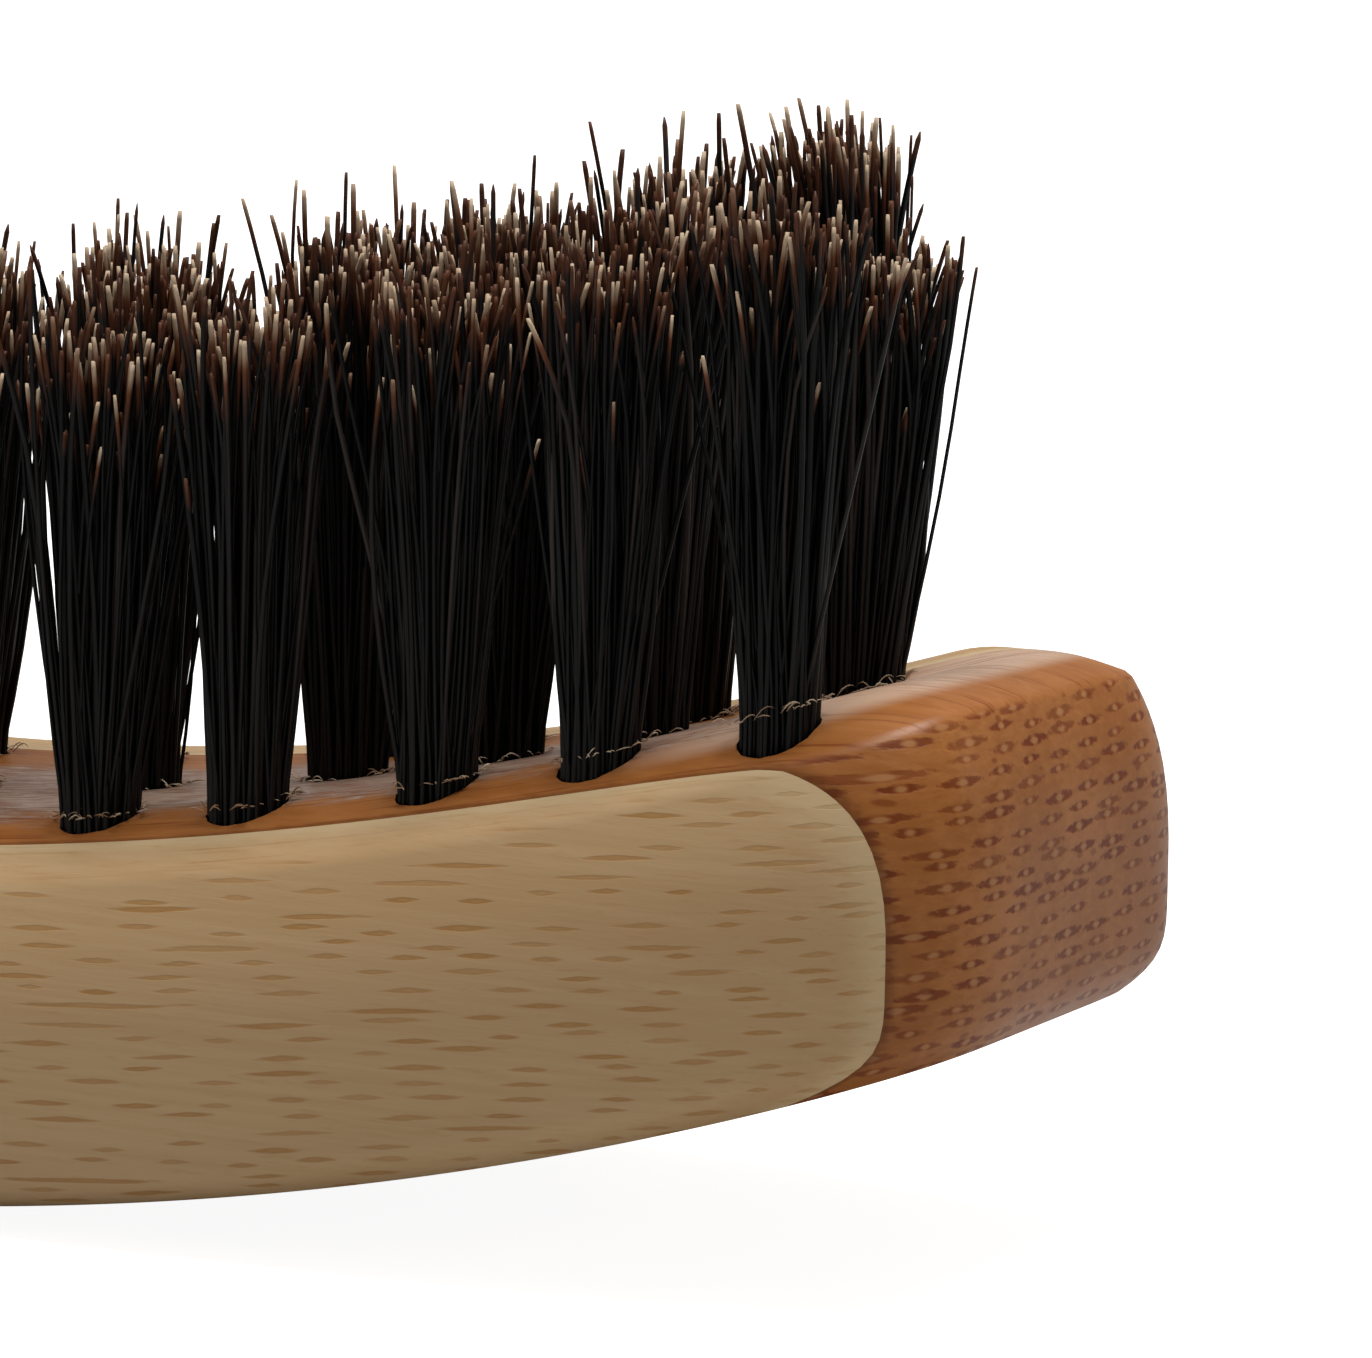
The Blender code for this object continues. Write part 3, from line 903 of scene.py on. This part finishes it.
@dataclass
class HoleSet:
    """The blind holes drilled in the core, each with a slightly broken rim."""

    places: list[Point]
    diameter: float = 3.3 * MM
    depth: float = 8.5 * MM
    overrun: float = 4.0 * MM
    sides: int = 32
    rim: float = 0.03 * MM
    rim_depth: float = 2.2
    flare: float = 0.06
    point: float = 0.5 * MM
    wobble: Span = (-0.02, 0.035)

    def cutter(self) -> bpy.types.Object:
        """Build one mesh of drills.

        Returns:
            The cutter, a turned drill for each hole that widens just under the face.
        """
        made = bmesh.new()
        draw = random.Random(SEED + 1)
        for x, y, z in self.places:
            base = self.diameter / 2
            profile = [
                (0.0, -self.depth - self.point),
                (base, -self.depth),
                (base, -self.rim * self.rim_depth),
                (base + self.rim, self.overrun * self.flare),
                (base + self.rim, self.overrun),
                (0.0, self.overrun),
            ]
            rings = []
            wobble = [1 + draw.uniform(*self.wobble) for _ in range(self.sides)]
            for radius, height in profile:
                if radius == 0.0:
                    rings.append([made.verts.new((x, y, z + height))])
                    continue
                ring = []
                for i in range(self.sides):
                    turn = 2 * math.pi * i / self.sides
                    reach = radius * (wobble[i] if height > -self.depth * 0.5 else 1.0)
                    px, py = x + reach * math.cos(turn), y + reach * math.sin(turn)
                    ring.append(made.verts.new((px, py, z + height)))
                rings.append(ring)
            for lower, upper in zip(rings, rings[1:]):
                for i in range(self.sides):
                    j = (i + 1) % self.sides
                    if len(lower) == 1:
                        made.faces.new((lower[0], upper[j], upper[i]))
                    elif len(upper) == 1:
                        made.faces.new((lower[i], lower[j], upper[0]))
                    else:
                        made.faces.new((lower[i], lower[j], upper[j], upper[i]))
        data = bpy.data.meshes.new("drills")
        made.to_mesh(data)
        made.free()
        cutter = bpy.data.objects.new("drills", data)
        bpy.context.scene.collection.objects.link(cutter)
        return cutter

    def drill(self, core: bpy.types.Object) -> None:
        """Cut the holes and leave the core as plain mesh.

        Args:
            core: the core lamella.
        """
        cutter = self.cutter()
        modifier = core.modifiers.new("holes", "BOOLEAN")
        modifier.operation = "DIFFERENCE"
        modifier.solver = "EXACT"
        modifier.object = cutter
        graph = bpy.context.evaluated_depsgraph_get()
        drilled = bpy.data.meshes.new_from_object(core.evaluated_get(graph))
        core.modifiers.clear()
        old = core.data
        core.data = drilled
        bpy.data.meshes.remove(old)
        bpy.data.objects.remove(cutter, do_unlink=True)


@dataclass
class TornFibres:
    """Loose wood fibres that the drill lifted round the holes, part of the core."""

    shape: BlockShape
    places: list[Point]
    material: bpy.types.Material
    per_hole: int = 40
    hole: float = 1.65 * MM
    steps: int = 7
    above: float = 0.03 * MM
    start: Span = (0.98, 1.22)
    length_mm: Span = (0.2, 1.0)
    curl: Span = (-1.3, 1.3)
    rise: Span = (0.03, 0.45)
    radius_mm: Span = (0.03, 0.08)

    def strand(self, mesh: bmesh.types.BMesh, points: list[Vector], radius: float) -> None:
        """Add one tapered, flat fibre.

        Args:
            mesh: the mesh being built.
            points: its centreline.
            radius: half its width at its thickest.
        """
        rings = []
        for i, point in enumerate(points):
            share = i / (len(points) - 1)
            ahead = points[min(i + 1, len(points) - 1)] - points[max(i - 1, 0)]
            side = ahead.cross(Vector((0.2, 0.1, 1.0))).normalized()
            lift = side.cross(ahead).normalized()
            reach = radius * max(0.12, math.sin(math.pi * (0.12 + 0.85 * share)))
            ways = (side * reach, lift * reach * 0.5, -side * reach, -lift * reach * 0.5)
            rings.append([mesh.verts.new(point + way) for way in ways])
        for lower, upper in zip(rings, rings[1:]):
            for i in range(4):
                j = (i + 1) % 4
                mesh.faces.new((lower[i], lower[j], upper[j], upper[i])).smooth = True
        mesh.faces.new(rings[0][::-1])
        mesh.faces.new(rings[-1])

    def build(self) -> bpy.types.Object:
        """Make all the fibres as one piece.

        Returns:
            The piece.
        """
        draw = random.Random(SEED + 2)
        mesh = bmesh.new()
        for x, y, z in self.places:
            for _ in range(self.per_hole):
                turn = draw.uniform(0, 2 * math.pi)
                start = self.hole * draw.uniform(*self.start)
                px, py = x + start * math.cos(turn), y + start * math.sin(turn)
                heading = draw.choice((0.0, math.pi)) + draw.gauss(0, 0.5)
                length = draw.uniform(*self.length_mm) * MM
                curl = draw.uniform(*self.curl)
                rise = draw.uniform(*self.rise)
                points = []
                for step in range(self.steps):
                    share = step / (self.steps - 1)
                    way = heading + curl * share
                    ground = self.shape.face_height(px, py)
                    height = ground + length * rise * math.sin(math.pi * share * 0.8) + self.above
                    points.append(Vector((px, py, height)))
                    px += math.cos(way) * length / self.steps
                    py += math.sin(way) * length / self.steps
                self.strand(mesh, points, draw.uniform(*self.radius_mm) * MM)
        data = bpy.data.meshes.new("core_torn_fibres")
        mesh.to_mesh(data)
        mesh.free()
        piece = place_mesh("core_torn_fibres", data, self.material)
        settle(piece, "carbonised_bamboo")
        return piece


@dataclass(frozen=True)
class TornFibreFinish:
    """Torn bamboo fibre: dry, unlacquered ends that scatter light, so they look pale and soft."""

    name: str = "bamboo_fibre_torn"
    pale: str = "#cfb89e"
    brown: str = "#9c7a5c"

    def make(self) -> bpy.types.Material:
        """Build the material.

        Returns:
            The material.
        """
        s = Shader(self.name)
        place = s.node(Do.PLACE).outputs["Object"]
        tone = s.node(Do.NOISE, place, 420.0, 3.0)
        s.feed(
            s.principled,
            base_color=s.node(Do.MIX, s.node(Do.RISE, tone, 0.38, 0.62), self.brown, self.pale),
        )
        s.feed(s.principled, roughness=0.85)
        s.feed(s.principled, specular_ior_level=0.2)
        bump = s.node(Do.BUMP, strength=0.3, distance=0.03 * MM, height=tone)
        s.feed(s.principled, normal=bump)
        return s.material


# ---------------------------------------------------------------------------------------------
# Tufts
# ---------------------------------------------------------------------------------------------


@dataclass
class Tuft:
    """One bundle of boar bristles, folded over its staple in a blind hole."""

    node: str
    row: Row
    x: float
    y: float
    face: float
    free_length: float
    top_radius: float
    depth: float
    ceiling: float
    material: bpy.types.Material
    lean: float = 0.0
    staple_half: float = 0.0
    strands: int = 175
    hole_radius: float = 1.68 * MM
    strand_radius: float = 0.135 * MM
    sides: int = 5
    levels: tuple[float, ...] = (0.06, 0.16, 0.3, 0.46, 0.62, 0.76, 0.87, 0.945, 0.985, 1.0)
    spread: Span = (0.55, 1.15)
    stray: float = 0.62
    bow: float = 0.24
    kink: float = 0.42
    uneven: float = 0.034
    long_until: float = 0.06
    longer_mm: Span = (0.5, 2.6)
    short_until: float = 0.30
    shorter_mm: Span = (0.4, 2.8)
    broken_until: float = 0.36
    broken_mm: Span = (2.5, 6.5)
    wild_share: float = 0.05
    thickness: Span = (0.72, 1.12)
    ovalness: Span = (0.72, 1.0)
    taper: float = 0.18

    def strand_points(self, draw: random.Random, index: int) -> tuple[list[Vector], float]:
        """Draw the centreline of one bristle.

        Args:
            draw: the tuft's own random numbers.
            index: the bristle's number, which sets where it leaves the hole.

        Returns:
            Its points from the fold to the tip, and its length above the face.
        """
        golden = math.pi * (3 - math.sqrt(5))
        share = math.sqrt((index + 0.5) / self.strands)
        turn = index * golden + draw.gauss(0, 0.15)
        root = Vector((math.cos(turn), math.sin(turn), 0.0)) * share * (self.hole_radius - self.strand_radius)
        spread = share * (self.top_radius - self.hole_radius) * draw.uniform(*self.spread)
        out = Vector((math.cos(turn), math.sin(turn), 0.0)) * spread
        jitter = Vector((draw.gauss(0, self.stray), draw.gauss(0, self.stray), 0.0)) * MM
        bow = Vector((draw.gauss(0, self.bow), draw.gauss(0, self.bow), 0.0)) * MM
        kink = Vector((draw.gauss(0, self.kink), draw.gauss(0, self.kink), 0.0)) * MM
        kind = draw.random()
        length = self.free_length * (1 + draw.gauss(0, self.uneven))
        if kind < self.long_until:
            length += draw.uniform(*self.longer_mm) * MM
            jitter *= 1.8
        elif kind < self.short_until:
            length -= draw.uniform(*self.shorter_mm) * MM
        elif kind < self.broken_until:
            length -= draw.uniform(*self.broken_mm) * MM
        if draw.random() < self.wild_share and not self.lean:
            jitter *= 2.8
        length = min(length, self.ceiling - self.face)
        tilt = Vector((math.tan(self.lean), 0.0, 0.0))
        points = []
        # Below the face the bundle is pressed to its hole, and parts round the staple.
        for height in (-self.depth, -0.4 * MM):
            inside = root.copy()
            if self.staple_half and height < -self.depth / 2:
                inside.x = math.copysign(max(abs(inside.x), self.staple_half), inside.x or 1.0)
            points.append(Vector((self.x, self.y, self.face + height)) + inside)
        for level in self.levels:
            height = level * length
            open_out = max(0.0, (level - 0.03) / 0.97) ** 0.85
            middle = root + out * open_out + jitter * level**1.2 + tilt * height * level**0.3
            middle += bow * math.sin(math.pi * level) + kink * max(0.0, (level - 0.7) / 0.3) ** 1.6
            points.append(Vector((self.x, self.y, self.face + height)) + middle)
        return points, length

    def build(self) -> bpy.types.Object:
        """Make every bristle of the tuft as one mesh.

        Returns:
            The piece, with each strand's "along" and "lot" stored on its points.
        """
        draw = random.Random(f"{SEED}-{self.node}")
        turns = [2 * math.pi * k / self.sides for k in range(self.sides)]
        circle = [(math.cos(turn), math.sin(turn)) for turn in turns]
        verts: list[Point] = []
        faces: list[tuple[int, ...]] = []
        along: list[float] = []
        lots: list[float] = []
        for index in range(self.strands):
            points, _ = self.strand_points(draw, index)
            lot = draw.random()
            thick = self.strand_radius * draw.uniform(*self.thickness)
            oval = draw.uniform(*self.ovalness)
            roll = draw.uniform(0, math.pi)
            cos, sin = math.cos(roll), math.sin(roll)
            base = len(verts)
            last = len(points) - 1
            for i, point in enumerate(points):
                share = i / last
                taper = 1.0 - self.taper * share
                if i == last:
                    taper *= 0.8 if lot > 0.2 else 0.3
                for cx, cy in circle:
                    u, v = cx * thick * taper, cy * thick * taper * oval
                    verts.append((point.x + u * cos - v * sin, point.y + u * sin + v * cos, point.z))
                    along.append(max(0.0, (point.z - self.face) / self.free_length))
                    lots.append(lot)
            for i in range(last):
                low, high = base + i * self.sides, base + (i + 1) * self.sides
                for k in range(self.sides):
                    n = (k + 1) % self.sides
                    faces.append((low + k, low + n, high + n, high + k))
            faces.append(tuple(range(base + self.sides - 1, base - 1, -1)))
            top = base + last * self.sides
            faces.append(tuple(range(top, top + self.sides)))
            # A strand's own tip is where its pigment ends, whatever its length.
            reach = along[-1]
            for i in range(base, len(verts)):
                along[i] = along[i] / reach if reach else 0.0
        data = bpy.data.meshes.new(self.node)
        data.from_pydata(verts, [], faces)
        data.shade_smooth()
        for name, values in (("along", along), ("lot", lots)):
            data.attributes.new(name, "FLOAT", "POINT").data.foreach_set("value", values)
        piece = place_mesh(f"{self.node}_bristles", data, self.material)
        settle(piece, "boar_bristle", self.node)
        return piece


@dataclass
class BristleField:
    """All the tufts, read from the CAD nodes that they stand for."""

    shape: BlockShape
    ceiling: float
    hole_depth: float = 8.1 * MM
    spread: dict[Row, float] = field(
        default_factory=lambda: {Row.NEAR: 3.0 * MM, Row.CENTRE: 3.2 * MM, Row.FAR: 3.4 * MM}
    )
    end_lean: dict[Row, float] = field(
        default_factory=lambda: {Row.NEAR: 0.0, Row.CENTRE: math.radians(2.5), Row.FAR: math.radians(-4.5)}
    )
    end_trim: float = 0.84
    middle_trim: float = 0.11
    trim_reach: float = 38.0 * MM
    end_spread: float = 0.86
    staple_half: float = 0.34 * MM

    def nodes(self) -> list[tuple[str, Row, Vector, Vector]]:
        """List the tuft nodes of the frame.

        Returns:
            Each node's name, row, and lowest and highest corners.
        """
        found = []
        for row in Row:
            names = sorted(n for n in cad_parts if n.startswith(f"tuft_{row.value}_"))
            found += [(name, row, *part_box(name)) for name in names]
        return found

    def places(self) -> list[Point]:
        """Where each tuft's hole opens in the face."""
        made = []
        for _, _, low, high in self.nodes():
            x, y = (low[0] + high[0]) / 2, (low[1] + high[1]) / 2
            made.append((x, y, self.shape.face_height(x, y)))
        return made

    def build(self, material: bpy.types.Material) -> list[bpy.types.Object]:
        """Make every tuft.

        Args:
            material: the bristle's finish.

        Returns:
            The pieces.
        """
        pieces = []
        listed = self.nodes()
        for number, (name, row, low, high) in enumerate(listed):
            x, y = (low[0] + high[0]) / 2, (low[1] + high[1]) / 2
            last = number + 1 == len(listed) or listed[number + 1][1] is not row
            first = number == 0 or listed[number - 1][1] is not row
            lean = self.end_lean[row] * (last - first)
            face = self.shape.face_height(x, y)
            # The shears ran a little flatter than the face, and the end tufts were cut shorter.
            trim = 1.0
            if row is Row.FAR:
                trim -= self.middle_trim * max(0.0, 1 - abs(x) / self.trim_reach)
            if row is Row.CENTRE and (first or last):
                trim = self.end_trim
            tuft = Tuft(
                node=name,
                row=row,
                x=x,
                y=y,
                face=face,
                free_length=(high[2] - face) * trim,
                top_radius=self.spread[row] * (self.end_spread if first or last else 1.0),
                depth=self.hole_depth,
                ceiling=self.ceiling,
                material=material,
                lean=lean,
                staple_half=self.staple_half if row is Row.CENTRE else 0.0,
            )
            pieces.append(tuft.build())
        return pieces


# ---------------------------------------------------------------------------------------------
# Studio
# ---------------------------------------------------------------------------------------------


@dataclass(frozen=True)
class Studio:
    """A white table, one broad light above, a weak one behind the right end, and the camera."""

    camera_place: Point = (0.30867, -0.54398, 0.13129)
    yaw: float = 0.455
    pitch: float = -0.1778
    roll: float = -0.0187
    lens: float = 401.65
    sensor: float = 36.0
    sky: float = 0.21
    key_size: float = 0.5
    key_power: float = 9.4
    rim_size: float = 0.3
    rim_power: float = 0.35
    floor_drop: float = 0.2 * MM

    def camera(self) -> bpy.types.Object:
        """Make the camera and make it the scene's own.

        Returns:
            The camera.
        """
        data = bpy.data.cameras.new("camera")
        data.lens = self.lens
        data.sensor_width = self.sensor
        data.clip_start, data.clip_end = 0.05, 20.0
        camera = bpy.data.objects.new("camera", data)
        bpy.context.scene.collection.objects.link(camera)
        yaw, pitch = Matrix.Rotation(self.yaw, 3, "Z"), Matrix.Rotation(self.pitch, 3, "X")
        turn = yaw @ pitch @ Matrix.Rotation(self.roll, 3, "Y")
        right, forward, up = (turn.col[i] for i in range(3))
        axes = Matrix((right, up, -forward)).transposed()
        camera.matrix_world = Matrix.Translation(self.camera_place) @ axes.to_4x4()
        bpy.context.scene.camera = camera
        return camera

    def floor(self) -> bpy.types.Object:
        """Lay the table top."""
        mesh = bmesh.new()
        bmesh.ops.create_grid(mesh, x_segments=8, y_segments=8, size=3.0)
        data = bpy.data.meshes.new("table_top")
        mesh.to_mesh(data)
        mesh.free()
        floor = place_mesh("table_top", data, FloorFinish().make())
        floor.location.z = -self.floor_drop
        floor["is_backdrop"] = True
        return floor

    def lamp(self, name: str, place: Point, aim: Point, size: float, power: float, tint: str) -> None:
        """Hang one soft square light.

        Args:
            name: the light's name.
            place: where it hangs.
            aim: the point that it faces.
            size: the length of its side.
            power: its power in watts.
            tint: its colour.
        """
        data = bpy.data.lights.new(name, "AREA")
        data.shape = "SQUARE"
        data.size = size
        data.energy = power
        data.color = linear(tint)[:3]
        lamp = bpy.data.objects.new(name, data)
        bpy.context.scene.collection.objects.link(lamp)
        lamp.location = place
        lamp.rotation_euler = (Vector(aim) - Vector(place)).to_track_quat("-Z", "Y").to_euler()

    def build(self) -> None:
        """Set up the camera, the floor, the lights and a dim even sky."""
        self.camera()
        self.floor()
        world = bpy.data.worlds.new("studio")
        bpy.context.scene.world = world
        world.use_nodes = True
        sky = world.node_tree.nodes["Background"]
        sky.inputs["Color"].default_value = linear("#ffffff")
        sky.inputs["Strength"].default_value = self.sky
        above, aside = (0.05, 0.03, 0.85), (0.8, 0.45, 0.3)
        self.lamp("key_above", above, (0.02, 0.0, 0.02), self.key_size, self.key_power, "#ffffff")
        self.lamp("right_rim", aside, (0.05, 0.0, 0.02), self.rim_size, self.rim_power, "#ffffff")
        bpy.context.scene.view_settings.view_transform = "Standard"


# ---------------------------------------------------------------------------------------------
# The brush
# ---------------------------------------------------------------------------------------------


@dataclass
class BeardBrush:
    """The whole brush."""

    low: Vector
    high: Vector
    above_ceiling: float = 1.15 * MM

    def build(self) -> None:
        """Make the block, its fibres, the tufts and the staples' finish."""
        shape = BlockShape(length=self.high[0] - self.low[0], width=self.high[1] - self.low[1])
        joint = (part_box("core_lamella")[1][1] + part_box("far_lamella")[0][1]) / 2
        # Natural bamboo: straw ground, honey bundles.
        pale = BambooFinish(
            name="bamboo_natural_lacquered",
            ground="#b8966c",
            ground_light="#c0a078",
            bundle="#9c6a2a",
            bundle_heart="#c4a26e",
            across_mm=2.6,
            upright_mm=0.62,
            reach_across_mm=0.58,
            reach_upright_mm=0.12,
            bundle_strength=0.68,
            heart_strength=0.12,
            joint="#d8c39c",
            joint_width=0.9,
            joint_strength=0.4,
        ).make()
        # Carbonised bamboo: steamed until its sugars caramelise, so the same grain is browner.
        core = BambooFinish(
            name="bamboo_carbonised_lacquered",
            ground="#965b2a",
            ground_light="#a86c3a",
            bundle="#70300c",
            bundle_heart="#b98a5e",
            across_mm=2.7,
            upright_mm=0.80,
            reach_across_mm=1.0,
            reach_upright_mm=0.24,
            bundle_strength=1.0,
            heart_strength=0.4,
            slant=0.08,
            droop=0.0,
            pore_depth=0.7,
            dot_strength=0.6,
            # The cream of the painted sheen on the lit face near the ends.
            painted_sheen="#c4a58d",
            stain_strength=0.8,
        ).make()
        field_of_tufts = BristleField(shape=shape, ceiling=self.high[2] + self.above_ceiling)
        lamellas = (
            Lamella("near_lamella", Side.NEAR, "pale_bamboo", shape, joint, pale),
            Lamella("core_lamella", Side.CORE, "carbonised_bamboo", shape, joint, core),
            Lamella("far_lamella", Side.FAR, "pale_bamboo", shape, joint, pale),
        )
        places = field_of_tufts.places()
        for lamella in lamellas:
            piece = lamella.build()
            if lamella.side is Side.CORE:
                HoleSet(places).drill(piece)
            LOG.info("%s: %d faces", piece.name, len(piece.data.polygons))
        fibres = TornFibres(shape, places, TornFibreFinish().make()).build()
        LOG.info("%s: %d faces", fibres.name, len(fibres.data.polygons))
        for piece in field_of_tufts.build(BristleFinish().make()):
            LOG.info("%s: %d faces", piece.name, len(piece.data.polygons))
        steel = StapleFinish().make()
        for name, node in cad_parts.items():
            if name.startswith("staple_"):
                node.data.materials.clear()
                node.data.materials.append(steel)
                LOG.info("%s: finish only", name)


def main() -> None:
    """Build the brush and the studio."""
    logging.basicConfig(level=logging.INFO, format="%(message)s")
    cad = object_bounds()
    BeardBrush(low=cad[0], high=cad[1]).build()
    Studio().build()


if __name__ == "__main__":
    main()
